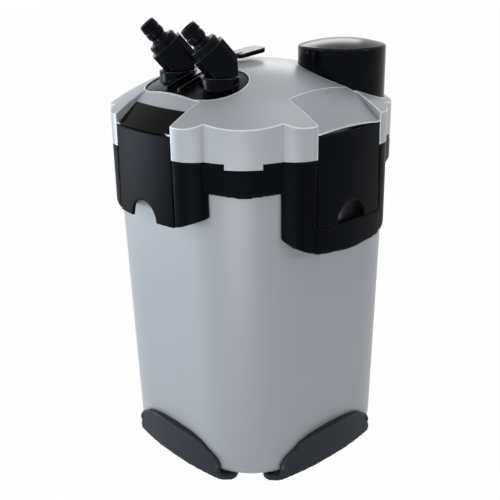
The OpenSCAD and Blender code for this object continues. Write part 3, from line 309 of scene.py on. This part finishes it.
def merged_copy(node, label):
    mesh = nodes[node].data.copy()
    mesh.name = label
    piece = bpy.data.objects.new(label, mesh)
    scene.collection.objects.link(piece)
    shell = bmesh.new()
    shell.from_mesh(mesh)
    bmesh.ops.remove_doubles(shell, verts=shell.verts, dist=WELD)
    shell.to_mesh(mesh)
    shell.free()
    return piece


def crisp_points(mesh, step, keep=None):
    """Points along the edges that turn by more than the crisp angle, where keep(point) holds."""
    shell = bmesh.new()
    shell.from_mesh(mesh)
    points = []
    for edge in shell.edges:
        if len(edge.link_faces) != 2 or edge.calc_face_angle(0.0) < CRISP_ANGLE:
            continue
        a, b = edge.verts[0].co, edge.verts[1].co
        if keep is not None and not keep((a + b) / 2):
            continue
        count = max(1, int((b - a).length / step))
        for i in range(count + 1):
            points.append(a.lerp(b, i / count))
    shell.free()
    return points


def point_tree(points):
    tree = kdtree.KDTree(len(points))
    for i, point in enumerate(points):
        tree.insert(point, i)
    tree.balance()
    return tree


def baked_mesh(piece):
    """The piece's modifiers as a plain mesh."""
    graph = bpy.context.evaluated_depsgraph_get()
    made = bpy.data.meshes.new_from_object(piece.evaluated_get(graph))
    piece.modifiers.clear()
    piece.data = made
    return made


def settle(piece, node):
    """Gives a finished skin its finish and body, and lets it stand for its node."""
    piece.data.name = piece.name
    piece.data.shade_smooth()
    piece.data.materials.clear()
    piece.data.materials.append(finish_of(node))
    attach(piece, nodes[node]["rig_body"])
    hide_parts(node)


# Steps and reach are shares of the even mesh's cell
CREASE_STEP = 0.2
CREASE_REACH = 0.6
EASE_STEP = 0.5
EASE_PULL = 0.6
FACES_KEPT = 0.5


def eased(node, voxel, passes):
    """An evenly meshed skin of a node with eased edges: passes of (radius in mm, rounds, where)."""
    piece = merged_copy(node, node + "_skin")
    source = piece.data.copy()
    surface = BVHTree.FromPolygons([v.co for v in source.vertices],
                                   [p.vertices[:] for p in source.polygons])
    remesh = piece.modifiers.new("even mesh", "REMESH")
    remesh.mode = "VOXEL"
    cell = voxel * MM
    remesh.voxel_size = cell
    made = baked_mesh(piece)
    count = len(made.vertices)
    spots = np.empty(count * 3)
    made.vertices.foreach_get("co", spots)
    spots = spots.reshape(-1, 3)
    for i in range(count):
        hit = surface.find_nearest(Vector(spots[i]))
        if hit[0] is not None:
            spots[i] = hit[0]
    creases = point_tree(crisp_points(source, cell * CREASE_STEP))
    for i in range(count):
        spot, _, away = creases.find(spots[i])
        if away < CREASE_REACH * cell:
            spots[i] = spot
    edges = np.empty(len(made.edges) * 2, dtype=np.int64)
    made.edges.foreach_get("vertices", edges)
    edges = edges.reshape(-1, 2)
    degree = np.maximum(np.bincount(edges.ravel(), minlength=count), 1)[:, None]
    for radius, rounds, where in passes:
        tree = point_tree(crisp_points(source, cell * EASE_STEP, where))
        weight = np.zeros((count, 1))
        for i in range(count):
            away = tree.find(spots[i])[2] / (radius * MM)
            if away < 1.0:
                weight[i] = 1.0 - away * away * (3.0 - 2.0 * away)
        for _ in range(rounds):
            total = np.stack([np.bincount(edges[:, 0], weights=spots[edges[:, 1], k], minlength=count)
                              + np.bincount(edges[:, 1], weights=spots[edges[:, 0], k], minlength=count)
                              for k in range(3)], axis=1)
            spots += (total / degree - spots) * (EASE_PULL * weight)
    made.vertices.foreach_set("co", spots.ravel())
    made.update()
    piece.modifiers.new("thin", "DECIMATE").ratio = FACES_KEPT
    baked_mesh(piece)
    bpy.data.meshes.remove(source)
    settle(piece, node)


FOOT_FACE_REACH = 100.0


def on_foot_face(point):
    return max(abs(point.x), abs(point.y)) > FOOT_FACE_REACH * MM


# Each node's mesh cell in mm, and how its edges are eased
CLAMP = (0.9, [(1.6, 4, None)])
ELBOW = (0.5, [(1.0, 3, None)])
FOOT = (1.0, [(2.2, 6, on_foot_face)])
EASED = {
    "canister_collar": (1.4, [(1.8, 3, None)]),
    "clamp_front": CLAMP, "clamp_right": CLAMP, "clamp_back": CLAMP, "clamp_left": CLAMP,
    "valve_block": (0.8, [(1.2, 3, None)]),
    "valve_lever": (0.7, [(1.6, 4, None)]),
    "elbow_in": ELBOW, "elbow_out": ELBOW,
    "foot_front": FOOT, "foot_right": FOOT, "foot_back": FOOT, "foot_left": FOOT,
    "primer_cap": (1.1, [(1.6, 3, None)]),
}


# Canister shell: a lofted rounded square with a rounded base, an open rim and an inner wall

CANISTER_TOP_HALF = 110.4
CANISTER_LOW_HALF = 105.9
CANISTER_CORNER = 67.0
CANISTER_BASE_Z = 6.0
CANISTER_STRAIGHT_Z = 282.0
CANISTER_RIM_Z = 303.0
CANISTER_WALL = 3.0
CANISTER_FLOOR_Z = 10.0
BASE_ROUND = 8.0
BASE_TUCK = 6.0
BASE_FLAT_INSET = 4.0
RIM_ROUND = 1.0
ARC_POINTS = 26
FLAT_POINTS = 8
ROUND_STEPS = 8
OUTER_STEPS = 24
INNER_STEPS = 8


def rounded_ring(half, corner, z):
    """One closed ring of a rounded square, in metres."""
    c = half - corner
    ring = []
    for quarter in range(4):
        turn = quarter * math.pi / 2
        side = []
        for i in range(ARC_POINTS):
            a = math.pi / 2 * i / ARC_POINTS
            side.append((c + corner * math.cos(a), c + corner * math.sin(a)))
        for i in range(FLAT_POINTS):
            side.append((c - 2 * c * i / FLAT_POINTS, half))
        for x, y in side:
            ring.append((x * math.cos(turn) - y * math.sin(turn), x * math.sin(turn) + y * math.cos(turn)))
    return [Vector((x * MM, y * MM, z * MM)) for x, y in ring]


BASE_TOP_Z = CANISTER_BASE_Z + BASE_ROUND
LIP_FOOT_Z = CANISTER_RIM_Z - RIM_ROUND


def canister_half(z):
    """Half the outer width at a height: the wall leans outwards up to the straight part."""
    share = (z - BASE_TOP_Z) / (CANISTER_STRAIGHT_Z - BASE_TOP_Z)
    return CANISTER_LOW_HALF + (CANISTER_TOP_HALF - CANISTER_LOW_HALF) * min(1.0, max(0.0, share))


def inset_ring(half, inset, z):
    """Half width, corner radius and height of a ring that lies inside the outer wall."""
    return half - inset, CANISTER_CORNER - inset, z


def canister_shell():
    """Rings from the underside up the outer wall, over the rim and down the inner wall."""
    top = CANISTER_TOP_HALF
    rings = [inset_ring(CANISTER_LOW_HALF, BASE_TUCK + BASE_FLAT_INSET, CANISTER_BASE_Z)]
    for step in range(1, ROUND_STEPS + 1):
        a = math.pi / 2 * step / ROUND_STEPS
        rings.append(inset_ring(CANISTER_LOW_HALF, BASE_TUCK * (1 - math.sin(a)),
                                CANISTER_BASE_Z + BASE_ROUND * (1 - math.cos(a))))
    for step in range(1, OUTER_STEPS + 1):
        z = BASE_TOP_Z + (LIP_FOOT_Z - BASE_TOP_Z) * step / OUTER_STEPS
        rings.append(inset_ring(canister_half(z), 0.0, z))
    rings.append(inset_ring(top, 0.3 * RIM_ROUND, CANISTER_RIM_Z - 0.3 * RIM_ROUND))
    rings.append(inset_ring(top, RIM_ROUND, CANISTER_RIM_Z))
    rings.append(inset_ring(top, CANISTER_WALL - RIM_ROUND, CANISTER_RIM_Z))
    rings.append(inset_ring(top, CANISTER_WALL, LIP_FOOT_Z))
    for step in range(1, INNER_STEPS + 1):
        z = LIP_FOOT_Z - (LIP_FOOT_Z - CANISTER_FLOOR_Z) * step / INNER_STEPS
        rings.append(inset_ring(canister_half(z), CANISTER_WALL, z))
    shell = bmesh.new()
    loops = [[shell.verts.new(p) for p in rounded_ring(*ring)] for ring in rings]
    for lower, upper in zip(loops, loops[1:]):
        for i in range(len(lower)):
            k = (i + 1) % len(lower)
            shell.faces.new((lower[i], lower[k], upper[k], upper[i]))
    shell.faces.new(list(reversed(loops[0])))
    shell.faces.new(loops[-1])
    mesh = bpy.data.meshes.new("canister_body_skin")
    shell.to_mesh(mesh)
    shell.free()
    piece = bpy.data.objects.new("canister_body_skin", mesh)
    scene.collection.objects.link(piece)
    settle(piece, "canister_body")


# Beads: rounded lines that follow the lid's creases, the edge of each foot and the spring's turns

def bead_tree():
    """Lays a round bead along every line of a wire mesh."""
    tree = bpy.data.node_groups.new("bead along lines", "GeometryNodeTree")
    tree.interface.new_socket("Lines", in_out="INPUT", socket_type="NodeSocketGeometry")
    for label, kind, value in (("Bead radius", "NodeSocketFloat", 0.001),
                               ("Bead sides", "NodeSocketInt", 10),
                               ("Rounded path", "NodeSocketBool", False),
                               ("Path step", "NodeSocketFloat", 0.002)):
        tree.interface.new_socket(label, in_out="INPUT", socket_type=kind).default_value = value
    tree.interface.new_socket("Finish", in_out="INPUT", socket_type="NodeSocketMaterial")
    tree.interface.new_socket("Bead", in_out="OUTPUT", socket_type="NodeSocketGeometry")
    given, out = tree.nodes.new("NodeGroupInput"), tree.nodes.new("NodeGroupOutput")
    path = tree.nodes.new("GeometryNodeMeshToCurve")
    rounded = tree.nodes.new("GeometryNodeCurveSplineType")
    rounded.spline_type = "CATMULL_ROM"
    stepped = tree.nodes.new("GeometryNodeResampleCurve")
    stepped.mode = "LENGTH"
    chosen = tree.nodes.new("GeometryNodeSwitch")
    chosen.input_type = "GEOMETRY"
    section = tree.nodes.new("GeometryNodeCurvePrimitiveCircle")
    swept = tree.nodes.new("GeometryNodeCurveToMesh")
    swept.inputs["Fill Caps"].default_value = True
    smooth = tree.nodes.new("GeometryNodeSetShadeSmooth")
    real = tree.nodes.new("GeometryNodeRealizeInstances")
    finished = tree.nodes.new("GeometryNodeSetMaterial")
    link = tree.links.new
    link(given.outputs["Lines"], path.inputs["Mesh"])
    link(path.outputs["Curve"], rounded.inputs["Curve"])
    link(rounded.outputs["Curve"], stepped.inputs["Curve"])
    link(given.outputs["Path step"], stepped.inputs["Length"])
    link(given.outputs["Rounded path"], chosen.inputs["Switch"])
    link(path.outputs["Curve"], chosen.inputs["False"])
    link(stepped.outputs["Curve"], chosen.inputs["True"])
    link(given.outputs["Bead sides"], section.inputs["Resolution"])
    link(given.outputs["Bead radius"], section.inputs["Radius"])
    link(chosen.outputs["Output"], swept.inputs["Curve"])
    link(section.outputs["Curve"], swept.inputs["Profile Curve"])
    link(swept.outputs["Mesh"], smooth.inputs["Geometry"])
    link(smooth.outputs["Geometry"], real.inputs["Geometry"])
    link(real.outputs["Geometry"], finished.inputs["Geometry"])
    link(given.outputs["Finish"], finished.inputs["Material"])
    link(finished.outputs["Geometry"], out.inputs["Bead"])
    return tree


BEAD = bead_tree()


def laid_bead(label, spots, lines, body, values):
    """A bead along the given lines, as a plain mesh that rides on a body."""
    wire = bpy.data.meshes.new(label + "_lines")
    wire.from_pydata(spots, lines, [])
    piece = bpy.data.objects.new(label, wire)
    scene.collection.objects.link(piece)
    bead = piece.modifiers.new("bead", "NODES")
    bead.node_group = BEAD
    for socket in BEAD.interface.items_tree:
        if socket.in_out == "INPUT" and socket.name in values:
            bead[socket.identifier] = values[socket.name]
    mesh = baked_mesh(piece)
    mesh.name = label
    shell = bmesh.new()
    shell.from_mesh(mesh)
    bmesh.ops.recalc_face_normals(shell, faces=shell.faces)
    shell.to_mesh(mesh)
    shell.free()
    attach(piece, body)
    return piece


def long_runs(edges, shortest):
    """The edges whose connected run is at least this long."""
    picked = set(edges)
    kept = []
    while picked:
        run, reach = [], [picked.pop()]
        while reach:
            edge = reach.pop()
            run.append(edge)
            for corner in edge.verts:
                for other in corner.link_edges:
                    if other in picked:
                        picked.discard(other)
                        reach.append(other)
        if sum(edge.calc_length() for edge in run) >= shortest:
            kept.extend(run)
    return kept


def crease_lines(node, angle, sink, shortest, keep):
    """Points and lines along a node's outward creases, sunk a little below both faces."""
    shell = bmesh.new()
    shell.from_mesh(nodes[node].data)
    bmesh.ops.remove_doubles(shell, verts=shell.verts, dist=WELD)
    shell.normal_update()
    lean, chosen = {}, []
    for edge in shell.edges:
        if len(edge.link_faces) != 2 or not edge.is_convex or edge.calc_face_angle(0.0) < angle:
            continue
        if not keep((edge.verts[0].co + edge.verts[1].co) / 2):
            continue
        chosen.append(edge)
        for corner in edge.verts:
            lean.setdefault(corner, []).extend(face.normal for face in edge.link_faces)
    chosen = long_runs(chosen, shortest)
    order = {}
    for edge in chosen:
        for corner in edge.verts:
            order.setdefault(corner, len(order))
    spots = []
    for corner in order:
        normals = lean[corner]
        mean = sum(normals, Vector()) / len(normals)
        spots.append(corner.co - mean * (sink / mean.length_squared))
    lines = [[order[corner] for corner in edge.verts] for edge in chosen]
    shell.free()
    return spots, lines


LID_BEAD = 0.7
LID_BEAD_PROUD = 0.2
LID_CREASE_FOOT_Z = 316.0
SHORTEST_CREASE = 15.0
LID_CREASE_ANGLE = math.radians(14)
LID_BEAD_SIDES = 8


def on_lid_crease(point):
    return point.z > LID_CREASE_FOOT_Z * MM


def lid_beads():
    """Rounded edges along the lid's creases, in a near-white finish that paints their highlight."""
    spots, lines = crease_lines("lid_cover", LID_CREASE_ANGLE, (LID_BEAD - LID_BEAD_PROUD) * MM,
                                SHORTEST_CREASE * MM, on_lid_crease)
    laid_bead("lid_edge_bead", spots, lines, nodes["lid_cover"]["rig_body"],
              {"Bead radius": LID_BEAD * MM, "Bead sides": LID_BEAD_SIDES, "Finish": PAINTED_HIGHLIGHT_EDGE})


# Half of a foot's edge, from its end to its middle: across and up
FOOT_EDGE = [(-60.9, 13), (-60.9, 16.4), (-56.6, 22.4), (-48.6, 27.6), (-40, 32.0), (-24.6, 34.9), (0, 35.8)]
FOOT_BOW = 350.0
FOOT_REACH = 112.0
LIP_RADIUS = 1.5
LIP_SUNK = 0.55
LIP_SIDES = 12
BEAD_STEP = 2.0


def foot_lip(side, turn):
    """A rounded bead that follows the foot's outline just inside its edge."""
    outline = FOOT_EDGE + [(-x, z) for x, z in reversed(FOOT_EDGE[:-1])]
    turned = Matrix.Rotation(turn, 3, "Z")
    spots = []
    for x, z in outline:
        y = FOOT_BOW - FOOT_REACH - math.sqrt(FOOT_BOW ** 2 - x * x) + LIP_SUNK
        spots.append(turned @ Vector((x * MM, y * MM, z * MM)))
    lines = [[i, i + 1] for i in range(len(spots) - 1)]
    laid_bead("foot_lip_" + side, spots, lines, "canister",
              {"Bead radius": LIP_RADIUS * MM, "Bead sides": LIP_SIDES, "Rounded path": True,
               "Path step": BEAD_STEP * MM, "Finish": GLOSS})


SPRING_COILS = 6
COIL_POINTS = 24
SPRING_WIRE = 1.2
SPRING_SIDES = 10


def return_spring():
    """The wound spring under the primer, laid as a fixed coil at its rest length; the real spring shortens
    as the cap goes down.
    """
    low, high = (Vector(corner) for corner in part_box("primer_spring"))
    middle = (low + high) / 2
    length = high.z - low.z
    wire = SPRING_WIRE * MM
    radius = (high.x - low.x) / 2 - wire
    count = SPRING_COILS * COIL_POINTS
    spots = []
    for i in range(count + 1):
        turn = 2 * math.pi * SPRING_COILS * i / count
        spots.append((middle.x + radius * math.cos(turn), middle.y + radius * math.sin(turn),
                      low.z + wire + (length - 2 * wire) * i / count))
    lines = [[i, i + 1] for i in range(count)]
    piece = laid_bead("return_spring", spots, lines, nodes["primer_spring"]["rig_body"],
                      {"Bead radius": wire, "Bead sides": SPRING_SIDES, "Rounded path": True,
                       "Path step": BEAD_STEP * MM, "Finish": STEEL})
    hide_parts("primer_spring")
    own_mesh(piece)


for node, (voxel, passes) in EASED.items():
    eased(node, voxel, passes)
canister_shell()
lid_beads()
return_spring()
for side, turn in (("front", 0), ("right", 90), ("back", 180), ("left", 270)):
    foot_lip(side, math.radians(turn))


# Floor, light and camera

def seen_ray(tree):
    """1 for rays that show the background: straight, mirrored or through glass."""
    path = tree.nodes.new("ShaderNodeLightPath")
    either = math_node(tree, "ADD", path.outputs["Is Camera Ray"], path.outputs["Is Glossy Ray"], clamp=True)
    return math_node(tree, "ADD", either, path.outputs["Is Transmission Ray"], clamp=True)


FLOOR_HALF = 6.0
FLOOR_DROP = 0.0005
FLOOR_WHITENESS = 0.985


def studio_floor():
    """A pale floor that renders white to the camera but keeps the object's shadow."""
    mesh = bpy.data.meshes.new("studio floor")
    piece = bpy.data.objects.new("studio_floor", mesh)
    scene.collection.objects.link(piece)
    shell = bmesh.new()
    bmesh.ops.create_grid(shell, x_segments=8, y_segments=8, size=FLOOR_HALF)
    bmesh.ops.translate(shell, verts=shell.verts, vec=(0, 0, -FLOOR_DROP))
    shell.to_mesh(mesh)
    shell.free()
    material = bpy.data.materials.new("studio floor")
    material.use_nodes = True
    tree = material.node_tree
    shader = tree.nodes["Principled BSDF"]
    shader.inputs["Base Color"].default_value = (0.95, 0.95, 0.95, 1)
    shader.inputs["Roughness"].default_value = 0.9
    shader.inputs["Specular IOR Level"].default_value = 0.1
    glow = tree.nodes.new("ShaderNodeEmission")
    glow.inputs["Strength"].default_value = 1.0
    blend = tree.nodes.new("ShaderNodeMixShader")
    tree.links.new(math_node(tree, "MULTIPLY", seen_ray(tree), FLOOR_WHITENESS), blend.inputs[0])
    tree.links.new(shader.outputs[0], blend.inputs[1])
    tree.links.new(glow.outputs[0], blend.inputs[2])
    tree.links.new(blend.outputs[0], tree.nodes["Material Output"].inputs["Surface"])
    mesh.materials.append(material)


WORLD_FILL = 0.23


def studio_world():
    """A white surround for straight and mirrored rays, and a low even fill for the rest."""
    world = bpy.data.worlds.new("studio")
    scene.world = world
    world.use_nodes = True
    tree = world.node_tree
    fill = tree.nodes["Background"]
    fill.inputs["Color"].default_value = (0.93, 0.95, 1.0, 1)
    fill.inputs["Strength"].default_value = WORLD_FILL
    seen = tree.nodes.new("ShaderNodeBackground")
    seen.inputs["Color"].default_value = (1, 1, 1, 1)
    seen.inputs["Strength"].default_value = 1.0
    blend = tree.nodes.new("ShaderNodeMixShader")
    tree.links.new(seen_ray(tree), blend.inputs[0])
    tree.links.new(fill.outputs[0], blend.inputs[1])
    tree.links.new(seen.outputs[0], blend.inputs[2])
    tree.links.new(blend.outputs[0], tree.nodes["World Output"].inputs["Surface"])


def softbox(label, spot, aim, size, power, colour=(1, 1, 1)):
    """A rectangular lamp at a spot, turned to its aim."""
    light = bpy.data.lights.new(label, "AREA")
    light.shape = "RECTANGLE"
    light.size, light.size_y = size
    light.energy = power
    light.color = colour
    lamp = bpy.data.objects.new(label, light)
    scene.collection.objects.link(lamp)
    lamp.location = spot
    lamp.visible_camera = False
    lamp.rotation_mode = "QUATERNION"
    lamp.rotation_quaternion = (Vector(aim) - Vector(spot)).to_track_quat("-Z", "Y")


CAMERA_AZIMUTH = 48.03
CAMERA_ELEVATION = 20.37
CAMERA_ROLL = -0.98
CAMERA_DISTANCE = 0.84327
CAMERA_SIDE = -0.00274
AIM_HEIGHT = 0.19125
LENS_MM = 59.806
SENSOR_MM = 36.0


def studio_camera():
    """A camera on a sphere around the object's axis, slightly rolled."""
    turn, lift, roll = (math.radians(v) for v in (CAMERA_AZIMUTH, CAMERA_ELEVATION, CAMERA_ROLL))
    back = Vector((math.sin(turn) * math.cos(lift), -math.cos(turn) * math.cos(lift), math.sin(lift)))
    right = Vector((math.cos(turn), math.sin(turn), 0))
    up = back.cross(right)
    level = right * math.cos(roll) + up * math.sin(roll)
    top = up * math.cos(roll) - right * math.sin(roll)
    data = bpy.data.cameras.new("camera")
    data.lens = LENS_MM
    data.sensor_width = SENSOR_MM
    data.clip_start, data.clip_end = 0.01, 50.0
    camera = bpy.data.objects.new("camera", data)
    scene.collection.objects.link(camera)
    turned = Matrix((level, top, back)).transposed().to_4x4()
    spot = right * CAMERA_SIDE + Vector((0, 0, AIM_HEIGHT)) + back * CAMERA_DISTANCE
    camera.matrix_world = Matrix.Translation(spot) @ turned
    scene.camera = camera


studio_floor()
studio_world()
softbox("key_front_left", (-0.40, -1.35, 0.75), (0, 0, 0.24), (0.5, 0.6), 3.8)
softbox("spark_left", (-0.50, -1.05, 1.05), (0, 0, 0.28), (0.12, 0.12), 1.2)
softbox("spark_right", (1.30, 0.50, 0.72), (0, -0.05, 0.38), (0.08, 0.08), 2.4)
softbox("low_left", (-0.95, -0.85, 0.10), (0, -0.11, 0.28), (0.6, 0.35), 7.0, (0.80, 0.89, 1.0))
softbox("low_corner", (0.40, -0.62, 0.02), (0.06, -0.08, 0.06), (0.5, 0.15), 1.7)
softbox("rim_right", (1.25, 0.15, 0.75), (0.08, 0, 0.25), (0.12, 0.8), 0.5)
softbox("back_sky", (-1.12, 1.00, 0.95), (0.02, 0.02, 0.38), (0.8, 0.4), 3.2)
softbox("top_panel", (0.0, 0.35, 1.35), (0, 0, 0.35), (0.5, 0.4), 1.5)
studio_camera()
scene.view_settings.view_transform = "Standard"
